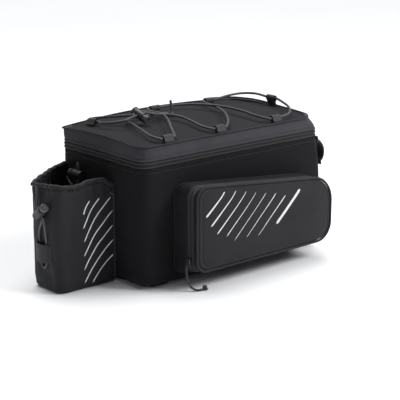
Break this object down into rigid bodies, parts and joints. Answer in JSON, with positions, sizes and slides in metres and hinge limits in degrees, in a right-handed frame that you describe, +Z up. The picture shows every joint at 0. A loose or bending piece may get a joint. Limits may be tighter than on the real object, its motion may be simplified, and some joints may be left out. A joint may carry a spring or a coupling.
{
  "type": "bicycle trunk bag",
  "caption": "Soft bicycle rack bag with a crowned zipped lid laced with elastic cord, zipped side pockets, an open rear bottle pocket, a light band and straps.",
  "frame": {"origin": "middle of the base's underside, the face that sits on a rack", "axes": "+X to the bicycle's front, +Y to its left, +Z up"},
  "size_m": [0.4433, 0.2786, 0.225],
  "materials": {
    "fabric": "woven, matt",
    "piping": "woven, matt",
    "webbing": "woven, matt",
    "zip_tape": "satin",
    "cord": "satin",
    "plastic": "satin",
    "board": "matt",
    "metal": "satin"
  },
  "bodies": {
    "bag": {"base_panel": "board", "body_shell": "fabric", "bungee": "cord", "bungee_knot": "cord", "bungee_tail": "cord", "front_loop": "webbing", "inner_drawcord": "cord", "inner_lock_barrel": "plastic", "lid": "fabric", "lid_lock_barrel": "plastic", "lid_piping": "piping", "lid_tab_far_1": "webbing", "lid_tab_far_2": "webbing", "lid_tab_front": "webbing", "lid_tab_near_1": "webbing", "lid_tab_near_2": "webbing", "lid_tab_near_3": "webbing", "lid_tab_rear": "webbing", "light_band": "webbing", "main_zip": "zip_tape", "main_zip_slider": "metal", "rack_strap_far_1": "webbing", "rack_strap_far_2": "webbing", "rack_strap_far_3": "webbing", "rack_strap_near_1": "webbing", "rack_strap_near_2": "webbing", "rack_strap_near_3": "webbing", "rear_drawcord": "cord", "rear_hem": "fabric", "rear_lock_barrel": "plastic", "rear_pocket": "fabric", "side_face_far": "fabric", "side_face_near": "fabric", "side_gusset_inner_far": "fabric", "side_gusset_inner_near": "fabric", "side_gusset_outer_far": "fabric", "side_gusset_outer_near": "fabric", "side_piping_far": "piping", "side_piping_near": "piping", "side_puller_far": "cord", "side_puller_near": "cord", "side_slider_far": "metal", "side_slider_near": "metal", "side_zip_far": "zip_tape", "side_zip_near": "zip_tape"},
    "lid_button": {"lid_lock_button": "plastic"},
    "rear_button": {"rear_lock_button": "plastic"},
    "inner_button": {"inner_lock_button": "plastic"}
  },
  "joints": [
    {"name": "lid_lock_press", "type": "slide", "parent": "bag", "child": "lid_button", "axis": [-0.1595, 0.9074, 0.3889], "range_m": [0, 0.003], "stiffness_N_per_m": 250},
    {"name": "rear_lock_press", "type": "slide", "parent": "bag", "child": "rear_button", "axis": [0, 0.7779, -0.6283], "range_m": [0, 0.003], "stiffness_N_per_m": 250},
    {"name": "inner_lock_press", "type": "slide", "parent": "bag", "child": "inner_button", "axis": [0, -1, 0], "range_m": [0, 0.003], "stiffness_N_per_m": 250}
  ]
}
